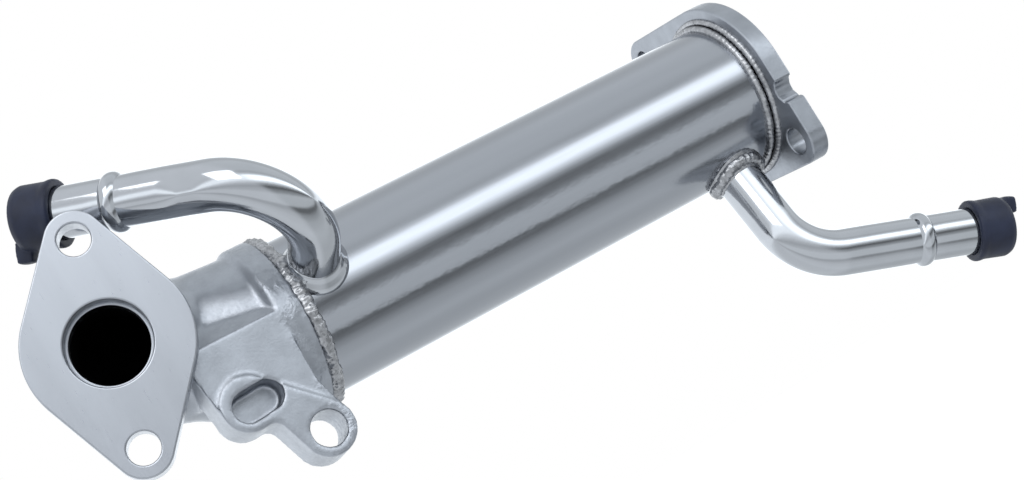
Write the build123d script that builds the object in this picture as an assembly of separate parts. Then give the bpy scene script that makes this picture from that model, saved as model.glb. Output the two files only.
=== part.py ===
from build123d import *
import math
import os

os.makedirs("parts", exist_ok=True)

# Exhaust gas cooler with a tube bundle inside a round shell. All sizes are in millimetres.
# The origin lies on the shell axis, in the mating face of the outlet flange.
# X runs along the shell towards that flange, Z is up, and the inlet flange looks towards -Y.

# Shell
shell_d = 50.0
shell_wall = 1.5
body_length = 168.5  # from the joint face of the casting to the near face of the outlet flange
socket_depth = 4.0  # shell length inside the casting
recess_depth = 2.0  # shell length inside the outlet flange
fit_gap = 0.05  # gap left round pieces that are pushed together before brazing

# Tube bundle
gas_tube_wall = 0.8
gas_tube_web = 2.6  # metal of a tube plate between two tubes
gas_tube_edge = 2.3  # metal of a tube plate outside the outer tubes
gas_tube_rings = 1  # rings of tubes round the middle one
gas_tube_stand_out = 1.0
tube_plate_t = 2.0
tube_plate_inset = 4.0

# Outlet flange
outlet_flange_t = 6.5
outlet_disc_d = 63.0
outlet_bore_d = 44.0
outlet_ear_r = 8.3
outlet_ear_low = (-23.0, -26.4)  # Y and Z of the lower bolt hole
outlet_ear_high = (32.7, 29.2)  # Y and Z of the upper bolt hole
outlet_bolt_hole_d = 8.6
outlet_bolt_chamfer = 0.5
outlet_notch_r = 3.9
outlet_notch_at = (-32.0, -11.5)  # Y and Z of the relief in the rim
outlet_edge_bevel = 0.5

# Collar of the inlet casting, which holds the shell
collar_wall = 3.0
collar_length = 9.0
collar_shoulder_bevel = 2.0

# Inlet flange, placed from the centre of the casting's joint face
inlet_centre = (-53.7, -33.9, 13.1)
inlet_tilt = 10.9  # turn of the flange from -Y towards -X
inlet_roll = 10.4  # turn of the bolt line from Z towards +X
inlet_flange_t = 7.5
inlet_disc_d = 47.2
inlet_ear_r = 8.2
inlet_bolt_pitch = 60.0
inlet_bolt_hole_d = 9.2
inlet_bolt_chamfer = 0.45
inlet_bore_d = 24.1
inlet_bore_depth = 4.0
inlet_throat_d = 22.0
inlet_edge_bevel = 0.6

# Elbow of the casting
elbow_root_d = 54.0
elbow_bend_d = 42.0
elbow_bend_r = 30.0
elbow_taper_length = 26.0
elbow_stub_length = 12.0  # straight stretch at the root, from the joint face
gas_way_root_d = 41.0
gas_way_stub_length = 7.0

# Bracket of the casting, in X from the joint face and Z from the shell axis
bracket_face_out = 28.0  # from the shell axis towards -Y
bracket_t = 15.0
bracket_web_t = 20.0
bracket_left_x = -37.5
bracket_right_x = -7.0
bracket_ledge_z = 1.2
bracket_web_z = -12.0
bracket_arm_z = -22.0  # height where the arm of the eye leaves the slot lobe
bracket_arm_x = -24.0
bracket_waist_r = 3.5
slot_lobe_at = (-27.4, -18.6)
slot_lobe_r = 8.0
eye_at = (-11.2, -35.1)
eye_lobe_r = 8.0
eye_hole_d = 10.6
slot_at = (-24.7, -19.1)
slot_pitch = 6.5
slot_width = 9.0
slot_turn = 4.0
slot_depth = 7.0
pad_height = 0.7

# Coolant pipes, the inlet pipe placed by its distance from the casting's joint face
pipe_d = 15.0
pipe_wall = 1.0
pipe_step_in = 0.3  # how far a pipe reaches past the inner wall of the shell
inlet_pipe_x = 10.5
inlet_pipe_turn = 20.5  # from -Y towards Z
inlet_pipe_leg = 44.7  # from the shell's surface to the first corner
inlet_pipe_first_run = (-27.3, 28.6, 17.5)
inlet_pipe_last_run = (-36.3, 24.3, 17.7)
inlet_pipe_bends = (20.0, 38.0)
outlet_pipe_setback = 15.2  # from the near face of the outlet flange
outlet_pipe_turn = -76.5
outlet_pipe_leg = 36.0
outlet_pipe_last_run = (63.6, -9.1, -23.2)
outlet_pipe_bends = (20.0,)
pipe_bend_step = 12.0  # largest turn of one short step of a bend
bead_d = 17.6
bead_width = 3.6
bead_crest_width = 1.4
bead_from_end = 28.5
braze_d = 19.2
braze_height = 3.2

# Weld beads on the shell
front_weld_length = 4.0
front_weld_height = 2.2
rear_weld_length = 3.4
rear_weld_height = 2.3

# Rubber transport caps
cap_d = 19.8
cap_length = 13.0
cap_end_t = 1.6
cap_end_bevel = 2.2
cap_tab_width = 5.5
cap_tab_length = 6.5
cap_tab_ahead = 2.4  # how far the pull tab stands out past the closed end
cap_tab_root = 3.5  # depth of the tab's foot inside the cap's rim
inlet_cap_tab_rise = 2.8
inlet_cap_tab_way = (-0.43, 0.30, -0.85)
outlet_cap_tab_rise = 0.6
outlet_cap_tab_way = (0.43, -0.30, 0.85)

shell_r = shell_d / 2
shell_inner_r = shell_r - shell_wall
across_tubes = 2 * (shell_inner_r - gas_tube_edge - gas_tube_rings * gas_tube_web)
gas_tube_d = across_tubes / (2 * gas_tube_rings + 1)
gas_tube_pitch = gas_tube_d + gas_tube_web
collar_r = shell_r + collar_wall
near_face_x = -outlet_flange_t
joint_x = near_face_x - body_length
shell_start_x = joint_x - socket_depth
shell_end_x = near_face_x + recess_depth
front_plate_x = shell_start_x + tube_plate_inset
rear_plate_x = shell_end_x - tube_plate_inset - tube_plate_t


def x_plane(x):
    """Plane across the shell at x, with its own x along Y and its own y along Z."""
    return Plane(origin=(x, 0, 0), x_dir=(0, 1, 0), z_dir=(1, 0, 0))


def x_cylinder(x_from, x_to, radius, y=0.0, z=0.0):
    """Round bar parallel to the shell axis."""
    disc = x_plane(x_from) * Pos(y, z) * Circle(radius)
    return extrude(disc, amount=x_to - x_from)


def tube_centres():
    """Places of the gas tubes on a triangular pitch, as Y and Z."""
    centres = []
    for row in range(-gas_tube_rings, gas_tube_rings + 1):
        count = 2 * gas_tube_rings + 1 - abs(row)
        for step in range(count):
            y = (step - (count - 1) / 2) * gas_tube_pitch
            z = row * gas_tube_pitch * math.sqrt(3) / 2
            centres.append((y, z))
    return centres


def bored_disc(x, thickness, radius, hole_r):
    """Disc across the shell with a hole for each gas tube."""
    sketch = Circle(radius) - [Pos(y, z) * Circle(hole_r) for y, z in tube_centres()]
    return extrude(x_plane(x) * sketch, amount=thickness)


def gas_tube(y, z):
    x_from = front_plate_x - gas_tube_stand_out
    x_to = rear_plate_x + tube_plate_t + gas_tube_stand_out
    ring = Circle(gas_tube_d / 2) - Circle(gas_tube_d / 2 - gas_tube_wall)
    return extrude(x_plane(x_from) * Pos(y, z) * ring, amount=x_to - x_from)


def tube_plate(x):
    return bored_disc(x, tube_plate_t, shell_inner_r - fit_gap, gas_tube_d / 2 + fit_gap)


def pipe_root(x, turn):
    """Plane at the foot of a coolant pipe, on the shell axis and facing out along the pipe."""
    angle = math.radians(turn)
    way = Vector(0, -math.cos(angle), math.sin(angle))
    return Plane(origin=(x, 0, 0), x_dir=(1, 0, 0), z_dir=way)


def pipe_line(root, leg, runs, bends):
    """Centre line of a coolant pipe, from inside the shell wall to its hose end."""
    start = root.origin + root.z_dir * (shell_inner_r - pipe_step_in)
    points = [start, root.origin + root.z_dir * (shell_r + leg)]
    for run in runs:
        points.append(points[-1] + Vector(*run))
    return FilletPolyline(*points, radius=list(bends))


def end_plane(line):
    """Plane at the hose end of a pipe, facing out of the pipe."""
    return Plane(origin=line @ 1, z_dir=line % 1)


def bar_along(line, radius):
    """Round bar along straight runs and bends, with each bend made of short steps."""
    bar = Part()
    for run in line.edges():
        turn = (run % 0).get_angle(run % 1)
        steps = max(1, math.ceil(turn / pipe_bend_step))
        side = (run % 0).cross(run % 1) if turn > 0 else Plane(origin=run @ 0, z_dir=run % 0).x_dir
        sections = []
        for step in range(steps + 1):
            place = Plane(origin=run @ (step / steps), x_dir=side, z_dir=run % (step / steps))
            sections.append(place * Circle(radius))
        bar += loft(sections, ruled=True)
    return bar


def coolant_pipe(line):
    rise = (bead_width - bead_crest_width) / 2
    crest = Cylinder(bead_d / 2, bead_width)
    crest = chamfer(crest.edges().filter_by(GeomType.CIRCLE), rise, (bead_d - pipe_d) / 2)
    outer = bar_along(line, pipe_d / 2) + end_plane(line) * Pos(0, 0, -bead_from_end) * crest
    return outer - bar_along(line, pipe_d / 2 - pipe_wall)


def pipe_braze(root):
    """Ring of braze round the foot of a coolant pipe."""
    ring = Circle(braze_d / 2) - Circle(pipe_d / 2 + fit_gap)
    solid = extrude(root * ring, amount=shell_r + braze_height)
    return solid - x_cylinder(joint_x, near_face_x, shell_r + fit_gap)


def pipe_cap(line, tab_way, tab_rise):
    """Push-on rubber cap over the hose end, with a pull tab at its closed end."""
    end = end_plane(line)
    across = Vector(*tab_way)
    across = (across - end.z_dir * across.dot(end.z_dir)).normalized()
    frame = Plane(origin=end.origin, x_dir=across, z_dir=end.z_dir)
    top = cap_end_t + fit_gap
    from_mouth = (Align.CENTER, Align.CENTER, Align.MIN)
    body = Pos(0, 0, top - cap_length) * Cylinder(cap_d / 2, cap_length, align=from_mouth)
    end_rim = body.edges().filter_by(GeomType.CIRCLE).sort_by(Axis.Z)[-1]
    body = chamfer(end_rim, cap_end_bevel)
    tab_foot = cap_d / 2 - cap_tab_root
    tab_head = (Align.MIN, Align.CENTER, Align.MAX)
    tab = Box(cap_tab_root + tab_rise, cap_tab_width, cap_tab_length, align=tab_head)
    tab = Pos(tab_foot, 0, top + cap_tab_ahead) * tab
    bore_length = cap_length - cap_end_t
    bore = Pos(0, 0, top - cap_length) * Cylinder(pipe_d / 2 + fit_gap, bore_length, align=from_mouth)
    return frame * (body + tab - bore)


def shell(roots):
    """Shell tube with a hole for each coolant pipe."""
    tube = x_cylinder(shell_start_x, shell_end_x, shell_r)
    tube -= x_cylinder(shell_start_x, shell_end_x, shell_inner_r)
    for root in roots:
        tube -= extrude(root * Circle(pipe_d / 2 + fit_gap), amount=shell_d)
    return tube


def weld_ring(x_face, x_toe, height, root):
    """Fillet weld round the shell against a face, cut away round the foot of a coolant pipe."""
    r = shell_r + fit_gap
    profile = Polyline((x_face, r), (x_face, r + height), (x_toe, r), close=True)
    ring = revolve(make_face(profile), Axis.X)
    return ring - extrude(root * Circle(braze_d / 2 + fit_gap), amount=shell_d)


def outlet_flange():
    """Two-bolt outlet flange, with a recess that the shell end stands in."""
    ears = [outlet_ear_low, outlet_ear_high]
    circles = Sketch() + Circle(outlet_disc_d / 2) + [Pos(*ear) * Circle(outlet_ear_r) for ear in ears]
    outline = make_hull(circles.edges())
    outline -= Pos(*outlet_notch_at) * Circle(outlet_notch_r)
    plate = extrude(x_plane(near_face_x) * outline, amount=outlet_flange_t)
    rims = plate.edges().group_by(Axis.X)
    plate = chamfer(rims[0] + rims[-1], outlet_edge_bevel)
    plate -= x_cylinder(near_face_x, 0, outlet_bore_d / 2)
    plate -= x_cylinder(near_face_x, shell_end_x, shell_r + fit_gap)
    for y, z in ears:
        plate -= x_cylinder(near_face_x, 0, outlet_bolt_hole_d / 2, y, z)
        wide = outlet_bolt_hole_d / 2 + outlet_bolt_chamfer
        sink = Cone(wide, wide - outlet_bolt_chamfer, outlet_bolt_chamfer)
        plate -= x_plane(near_face_x + outlet_bolt_chamfer / 2) * Pos(y, z) * sink
    return plate


def inlet_plane():
    """Plane of the inlet flange's mating face, facing out, with its own x along the bolt line."""
    tilt = math.radians(inlet_tilt)
    roll = math.radians(inlet_roll)
    outwards = Vector(-math.sin(tilt), -math.cos(tilt), 0)
    sideways = Vector(math.cos(tilt), -math.sin(tilt), 0)
    bolt_line = Vector(0, 0, 1) * math.cos(roll) + sideways * math.sin(roll)
    centre = Vector(*inlet_centre) + Vector(joint_x, 0, 0)
    return Plane(origin=centre, x_dir=bolt_line, z_dir=outwards)


def inlet_flange_blank(face):
    ears = [Pos(side * inlet_bolt_pitch / 2, 0) * Circle(inlet_ear_r) for side in (-1, 1)]
    outline = make_hull((Sketch() + Circle(inlet_disc_d / 2) + ears).edges())
    plate = extrude(face * outline, amount=-inlet_flange_t)
    rim = plate.faces().sort_by(Axis(face.origin, face.z_dir))[-1].edges()
    return chamfer(rim, inlet_edge_bevel)


def elbow(face, root_d, bend_d, stub_length, end_depth):
    """Straight stub, taper and round bend from the joint face to the inlet flange."""
    start = Vector(shell_start_x, 0, 0)
    corner = face.origin - face.z_dir * (face.origin.Y / face.z_dir.Y)
    end = face.origin - face.z_dir * end_depth
    line = FilletPolyline(start, corner, end, radius=elbow_bend_r)
    upright = (Align.CENTER, Align.CENTER, Align.MIN)
    taper = Cone(root_d / 2, bend_d / 2, elbow_taper_length, align=upright)
    stub = x_cylinder(joint_x, joint_x - stub_length, root_d / 2)
    return bar_along(line, bend_d / 2) + Plane(origin=start, z_dir=line % 0) * taper + stub


def collar():
    """Round collar that the shell is pushed into, with a bevelled shoulder."""
    ring = x_cylinder(joint_x - collar_length, joint_x, collar_r)
    shoulder = ring.edges().group_by(Axis.X)[0]
    return chamfer(shoulder, collar_shoulder_bevel)


def bracket():
    """Flat-faced bracket below the elbow, with a slotted lobe, an eye and a sloping ledge above."""
    front_y = -bracket_face_out
    front = Plane(origin=(joint_x, front_y, 0), x_dir=(1, 0, 0), z_dir=(0, -1, 0))
    top_z = bracket_ledge_z + bracket_t
    slot_lobe = Pos(*slot_lobe_at) * Circle(slot_lobe_r)
    eye_lobe = Pos(*eye_at) * Circle(eye_lobe_r)
    arm_left = Vector(bracket_arm_x, bracket_arm_z)
    arm_right = Vector(bracket_right_x, bracket_arm_z)
    lobe_left = slot_lobe_at[0] - slot_lobe_r
    body = Polygon(
        (bracket_left_x, top_z),
        (bracket_left_x, slot_lobe_at[1] / 4),
        (lobe_left, slot_lobe_at[1]),
        arm_left,
        arm_right,
        (bracket_right_x, top_z),
        align=None,
    )
    arm = make_hull(eye_lobe.edges() + Line(arm_left, arm_right).edges())
    outline = body + slot_lobe + arm
    waist = outline.vertices().sort_by_distance((bracket_arm_x, slot_lobe_at[1] - slot_lobe_r))[0]
    outline = fillet(waist, bracket_waist_r)
    plate = extrude(front * outline, amount=-bracket_t)
    upper = Rectangle(-4 * bracket_left_x, top_z - bracket_web_z, align=(Align.CENTER, Align.MIN))
    web = extrude(front * (body & Pos(0, bracket_web_z) * upper), amount=-bracket_web_t)
    pad = make_hull(slot_lobe.edges() + eye_lobe.edges()) & outline
    block = plate + web + extrude(front * pad, amount=pad_height)
    slope = Polyline(
        (front_y, bracket_ledge_z),
        (front_y + 2 * bracket_t, bracket_ledge_z + 2 * bracket_t),
        (front_y, bracket_ledge_z + 2 * bracket_t),
        close=True,
    )
    wedge = extrude(x_plane(joint_x + bracket_left_x) * make_face(slope), amount=-bracket_left_x)
    block -= wedge
    slot = Pos(*slot_at) * Rot(0, 0, slot_turn) * SlotCenterToCenter(slot_pitch, slot_width)
    block -= extrude(front * slot, amount=-slot_depth)
    block -= extrude(front * slot, amount=2 * pad_height)
    eye_hole = front * Pos(*eye_at) * Circle(eye_hole_d / 2)
    block -= extrude(eye_hole, amount=-2 * bracket_t)
    block -= extrude(eye_hole, amount=2 * pad_height)
    return block


def inlet_casting():
    """One casting: inlet flange, elbow, collar and bracket, with the gas way through it."""
    face = inlet_plane()
    outside = elbow(face, elbow_root_d, elbow_bend_d, elbow_stub_length, inlet_flange_t / 2)
    casting = outside + collar() + inlet_flange_blank(face) + bracket()
    casting -= elbow(face, gas_way_root_d, inlet_throat_d, gas_way_stub_length, 0)
    casting -= extrude(face * Circle(inlet_bore_d / 2), amount=-inlet_bore_depth)
    casting -= x_cylinder(joint_x, shell_start_x, shell_r + fit_gap)
    casting -= x_cylinder(near_face_x, joint_x, collar_r)
    for side in (-1, 1):
        place = face * Pos(side * inlet_bolt_pitch / 2, 0)
        casting -= extrude(place * Circle(inlet_bolt_hole_d / 2), amount=-inlet_flange_t)
        wide = inlet_bolt_hole_d / 2 + inlet_bolt_chamfer
        sink = Cone(wide - inlet_bolt_chamfer, wide, inlet_bolt_chamfer)
        casting -= place * Pos(0, 0, -inlet_bolt_chamfer / 2) * sink
    return casting


inlet_root = pipe_root(joint_x + inlet_pipe_x, inlet_pipe_turn)
outlet_root = pipe_root(near_face_x - outlet_pipe_setback, outlet_pipe_turn)
inlet_runs = [inlet_pipe_first_run, inlet_pipe_last_run]
inlet_line = pipe_line(inlet_root, inlet_pipe_leg, inlet_runs, inlet_pipe_bends)
outlet_line = pipe_line(outlet_root, outlet_pipe_leg, [outlet_pipe_last_run], outlet_pipe_bends)

nodes = {
    "inlet_casting": inlet_casting(),
    "shell": shell([inlet_root, outlet_root]),
    "outlet_flange": outlet_flange(),
    "front_tube_plate": tube_plate(front_plate_x),
    "rear_tube_plate": tube_plate(rear_plate_x),
    "coolant_inlet_pipe": coolant_pipe(inlet_line),
    "coolant_outlet_pipe": coolant_pipe(outlet_line),
    "coolant_inlet_braze": pipe_braze(inlet_root),
    "coolant_outlet_braze": pipe_braze(outlet_root),
    "front_weld": weld_ring(joint_x, joint_x + front_weld_length, front_weld_height, inlet_root),
    "rear_weld": weld_ring(near_face_x, near_face_x - rear_weld_length, rear_weld_height, outlet_root),
    "coolant_inlet_cap": pipe_cap(inlet_line, inlet_cap_tab_way, inlet_cap_tab_rise),
    "coolant_outlet_cap": pipe_cap(outlet_line, outlet_cap_tab_way, outlet_cap_tab_rise),
}
for number, (y, z) in enumerate(tube_centres(), start=1):
    nodes[f"gas_tube_{number:02d}"] = gas_tube(y, z)

for name, solid in nodes.items():
    export_step(solid, f"parts/{name}.step")
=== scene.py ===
import math

import bmesh
import bpy
import numpy as np
from mathutils import Matrix, Vector, noise


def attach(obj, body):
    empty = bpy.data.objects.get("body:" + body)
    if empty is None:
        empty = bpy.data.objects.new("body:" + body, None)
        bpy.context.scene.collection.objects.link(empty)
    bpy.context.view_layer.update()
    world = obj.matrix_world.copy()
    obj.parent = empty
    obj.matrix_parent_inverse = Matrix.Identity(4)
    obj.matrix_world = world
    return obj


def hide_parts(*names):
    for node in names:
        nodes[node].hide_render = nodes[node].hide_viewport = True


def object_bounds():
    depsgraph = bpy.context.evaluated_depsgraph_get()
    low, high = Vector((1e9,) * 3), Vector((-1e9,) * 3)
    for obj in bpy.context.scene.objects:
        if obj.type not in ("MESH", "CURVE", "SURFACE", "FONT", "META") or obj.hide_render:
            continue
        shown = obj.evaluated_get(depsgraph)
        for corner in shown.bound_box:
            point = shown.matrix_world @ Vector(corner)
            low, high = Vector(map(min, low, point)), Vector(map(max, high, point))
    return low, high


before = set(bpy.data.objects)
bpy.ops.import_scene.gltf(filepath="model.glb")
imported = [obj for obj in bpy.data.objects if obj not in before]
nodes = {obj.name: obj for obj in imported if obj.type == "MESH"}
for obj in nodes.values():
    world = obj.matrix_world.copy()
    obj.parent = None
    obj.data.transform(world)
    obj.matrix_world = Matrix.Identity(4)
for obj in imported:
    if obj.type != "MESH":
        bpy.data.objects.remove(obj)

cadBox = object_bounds()
mm = 0.001  # the part is sized in millimetres, the studio and all meshes are in metres


def report(text):
    print("egr cooler:", text)


# Small tools that every piece uses

def linkObject(name, data):
    piece = bpy.data.objects.new(name, data)
    bpy.context.scene.collection.objects.link(piece)
    return piece


def bakeModifiers(piece):
    # the evaluated shape becomes a plain mesh and the modifiers go
    graph = bpy.context.evaluated_depsgraph_get()
    baked = bpy.data.meshes.new_from_object(piece.evaluated_get(graph))
    baked.name = piece.name
    piece.modifiers.clear()
    piece.data = baked
    return piece


def shadeSmooth(mesh, sharpAngle=35):
    mesh.polygons.foreach_set("use_smooth", [True] * len(mesh.polygons))
    mesh.set_sharp_from_angle(angle=math.radians(sharpAngle))


def dress(piece, material, stands=()):
    # gives a finished piece its metal, its slot and its place in the frame
    if len(piece.data.materials) == 0:
        piece.data.materials.append(material)
    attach(piece, "root")
    if stands:
        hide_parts(*stands)


def directionsRound(axis, sideHint):
    along = Vector(axis).normalized()
    side = Vector(sideHint)
    side = (side - along * side.dot(along)).normalized()
    return along, side, along.cross(side)


def softened(outline, cut):
    # rounds the corners of a closed outline of points in a plane
    soft = []
    steps = 3
    mostOfSide = 0.45  # a corner's round never takes up half a side
    count = len(outline)
    for index in range(count):
        here = Vector(outline[index])
        before = Vector(outline[index - 1])
        after = Vector(outline[(index + 1) % count])
        inLength, outLength = (before - here).length, (after - here).length
        reach = min(cut, inLength * mostOfSide, outLength * mostOfSide)
        first = here + (before - here) * (reach / inLength)
        last = here + (after - here) * (reach / outLength)
        for step in range(steps + 1):
            share = step / steps
            bend = here * 2 * share * (1 - share)
            soft.append(first * (1 - share) ** 2 + bend + last * share ** 2)
    return [tuple(point) for point in soft]


def turnedPiece(name, origin, way, outline, sides):
    # a closed outline of (along, radius) turned about an axis; points on the axis come first and last
    along, side, third = directionsRound(way, (0, 0.3, 1))
    start = Vector(origin)
    bm = bmesh.new()
    rings = []
    for place, radius in outline:
        if radius < 1e-6:
            rings.append([bm.verts.new((start + along * place) * mm)])
            continue
        ring = []
        for step in range(sides):
            turn = 2 * math.pi * step / sides
            spoke = side * math.cos(turn) + third * math.sin(turn)
            ring.append(bm.verts.new((start + along * place + spoke * radius) * mm))
        rings.append(ring)
    pairs = list(zip(rings, rings[1:]))
    if len(rings[0]) > 1:
        pairs.append((rings[-1], rings[0]))
    for lower, upper in pairs:
        for step in range(sides):
            following = (step + 1) % sides
            corners = [lower[step % len(lower)], lower[following % len(lower)],
                       upper[following % len(upper)], upper[step % len(upper)]]
            unique = list(dict.fromkeys(corners))
            if len(unique) > 2:
                bm.faces.new(unique)
    bmesh.ops.recalc_face_normals(bm, faces=bm.faces)
    mesh = bpy.data.meshes.new(name)
    bm.to_mesh(mesh)
    bm.free()
    return linkObject(name, mesh)


def circleLoop(centre, radius, count, clockwise=False):
    turns = [2 * math.pi * step / count for step in range(count)]
    if clockwise:
        turns.reverse()
    x, y = centre
    return [(x + radius * math.cos(turn), y + radius * math.sin(turn)) for turn in turns]


def hullOfCircles(circles):
    # the taut line round several circles, counter-clockwise
    fineness, longestSide = 240, 0.8
    points = sorted(point for centre, radius in circles for point in circleLoop(centre, radius, fineness))

    def chain(ordered):
        kept = []
        for point in ordered:
            while len(kept) > 1:
                (ax, ay), (bx, by) = kept[-2], kept[-1]
                if (bx - ax) * (point[1] - ay) - (by - ay) * (point[0] - ax) > 1e-9:
                    break
                kept.pop()
            kept.append(point)
        return kept[:-1]

    hull = chain(points) + chain(points[::-1])
    # long straight sides get points of their own
    line = []
    for here, after in zip(hull, hull[1:] + hull[:1]):
        steps = max(1, round(math.dist(here, after) / longestSide))
        line += [tuple(Vector(here).lerp(Vector(after), step / steps)) for step in range(steps)]
    return line


def platePiece(name, loops, thickness, bevel, place):
    # a flat plate with bevelled rims from its outer loop and its holes, its front face in the plane of place
    curve = bpy.data.curves.new(name, "CURVE")
    curve.dimensions = "2D"
    curve.fill_mode = "BOTH"
    curve.extrude = thickness / 2 - bevel
    curve.bevel_depth = bevel
    curve.bevel_resolution = 2
    curve.offset = -bevel
    for loop in loops:
        spline = curve.splines.new("POLY")
        spline.points.add(len(loop) - 1)
        for point, (x, y) in zip(spline.points, loop):
            point.co = (x, y, 0, 1)
        spline.use_cyclic_u = True
    holder = linkObject(name, curve)
    graph = bpy.context.evaluated_depsgraph_get()
    mesh = bpy.data.meshes.new_from_object(holder.evaluated_get(graph))
    bpy.data.objects.remove(holder)
    mesh.transform(Matrix.Scale(mm, 4) @ place @ Matrix.Translation((0, 0, -thickness / 2)))
    bm = bmesh.new()
    bm.from_mesh(mesh)
    bmesh.ops.remove_doubles(bm, verts=bm.verts, dist=2e-6)
    bmesh.ops.recalc_face_normals(bm, faces=bm.faces)
    bm.to_mesh(mesh)
    bm.free()
    shadeSmooth(mesh, 12)
    return linkObject(name, mesh)


def roundedPath(corners, radii, step):
    # straight runs and arcs through the corners, as an array of points
    points = [Vector(corners[0])]
    for before, here, after, radius in zip(corners, corners[1:], corners[2:], radii):
        here = Vector(here)
        inWay = (Vector(before) - here).normalized()
        outWay = (Vector(after) - here).normalized()
        half = inWay.angle(outWay) / 2
        centre = here + (inWay + outWay).normalized() * (radius / math.sin(half))
        first = here + inWay * (radius / math.tan(half)) - centre
        axis = inWay.cross(outWay).normalized()
        sweep = math.pi - 2 * half
        count = max(4, int(radius * sweep / step))
        for index in range(count + 1):
            points.append(centre + Matrix.Rotation(-sweep * index / count, 3, axis) @ first)
    points.append(Vector(corners[-1]))
    dense = [points[0]]
    for point in points[1:]:
        gap = (point - dense[-1]).length
        pieces = max(1, int(gap / step))
        start = dense[-1].copy()
        dense.extend(start.lerp(point, index / pieces) for index in range(1, pieces + 1))
    return np.array([tuple(point) for point in dense])


def nearestOnPath(points, path):
    # distance of many points from a path, and how far along it each one lies
    lengths = np.concatenate(([0], np.cumsum(np.linalg.norm(np.diff(path, axis=0), axis=1))))
    distance = np.full(len(points), np.inf)
    place = np.zeros(len(points))
    for spot, length in zip(path, lengths):
        gap = np.linalg.norm(points - spot, axis=1)
        nearer = gap < distance
        distance[nearer] = gap[nearer]
        place[nearer] = length
    return distance, place


# Node tree helpers

def addNode(tree, kind, inputs=None, **settings):
    node = tree.nodes.new(kind)
    for key, value in settings.items():
        setattr(node, key, value)
    for key, value in (inputs or {}).items():
        if isinstance(value, bpy.types.NodeSocket):
            tree.links.new(value, node.inputs[key])
        else:
            node.inputs[key].default_value = value
    return node


def doMath(tree, operation, *values):
    return addNode(tree, "ShaderNodeMath", dict(enumerate(values)), operation=operation).outputs[0]


def newGeometryTree(name, sizes):
    # a Geometry Nodes tree with a mesh going in, named sizes and a material
    tree = bpy.data.node_groups.new(name, "GeometryNodeTree")
    tree.interface.new_socket("Geometry", in_out="INPUT", socket_type="NodeSocketGeometry")
    for label, default in sizes.items():
        kind = "NodeSocketInt" if isinstance(default, int) else "NodeSocketFloat"
        tree.interface.new_socket(label, in_out="INPUT", socket_type=kind).default_value = default
    tree.interface.new_socket("Material", in_out="INPUT", socket_type="NodeSocketMaterial")
    tree.interface.new_socket("Geometry", in_out="OUTPUT", socket_type="NodeSocketGeometry")
    return tree, tree.nodes.new("NodeGroupInput").outputs


def closeTree(tree, geometry, material):
    smooth = addNode(tree, "GeometryNodeSetShadeSmooth", {"Geometry": geometry})
    solid = addNode(tree, "GeometryNodeRealizeInstances", {"Geometry": smooth.outputs[0]})
    painted = addNode(tree, "GeometryNodeSetMaterial", {"Geometry": solid.outputs[0], "Material": material})
    tree.links.new(painted.outputs[0], tree.nodes.new("NodeGroupOutput").inputs[0])


def runTree(name, tree, sizes, material, mesh):
    # runs a tree on a starting mesh and keeps the result as a plain mesh
    piece = linkObject(name, mesh)
    modifier = piece.modifiers.new("shape", "NODES")
    modifier.node_group = tree
    for item in tree.interface.items_tree:
        if item.in_out == "INPUT" and item.name in sizes:
            modifier[item.identifier] = sizes[item.name]
        elif item.in_out == "INPUT" and item.name == "Material":
            modifier[item.identifier] = material
    return bakeModifiers(piece)


def lineMesh(name, points, closed=False):
    mesh = bpy.data.meshes.new(name)
    edges = [(index, index + 1) for index in range(len(points) - 1)]
    if closed:
        edges.append((len(points) - 1, 0))
    mesh.from_pydata([tuple(Vector(point) * mm) for point in points], edges, [])
    return mesh


# Studio: a white surround for the eye, long soft strips and a big card for the metal

studio = {
    "lens": 65.2,
    "cameraAt": (-0.3221, -0.5250, -0.0834),
    "cameraRight": (0.8144, -0.2746, -0.5113),
    "cameraUp": (0.4306, -0.3049, 0.8495),
    "floorDrop": 0.10,  # how far the floor lies below the part
    "floorSize": 12.0,
    "floorGlow": 0.72,  # share of the floor's white that takes no shadow
    "floorColor": (0.92, 0.92, 0.92),
    "stripLight": 1.90,  # light of the strips all together
    "stripTint": (0.925, 0.97, 1.0),
    "cardLight": 1.30,  # the big card at the inlet end of the room
    "cardTint": (0.93, 0.965, 1.0),
    "cardEdge": (0.20, -0.12),  # sideways directions between which the card fades in
    "cardShare": 0.55,
    "lampPower": 5.0,
    "lampSize": 0.8,
    "lampAim": (-0.1, 0, 0),
    "lampOffset": (-0.5, -1.0, 0.9),  # from what it is aimed at
    # angle round the shell from the camera's side, and how bright the room is there
    "strips": [(-180, 1.10), (-170, 1.05), (-160, 0.62), (-150, 0.48), (-112, 0.46), (-93, 0.52), (-74, 0.46),
               (-63, 0.34), (-54, 0.14), (-50, 0.14), (-43, 0.52), (-22, 0.54), (-12, 0.30), (-2, 0.12),
               (5, 0.35), (12, 0.80), (19, 1.55), (31, 1.55), (37, 0.70), (44, 0.46), (58, 0.56), (98, 0.58),
               (120, 0.46), (134, 0.46), (145, 0.62), (153, 1.00)],
}


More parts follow.
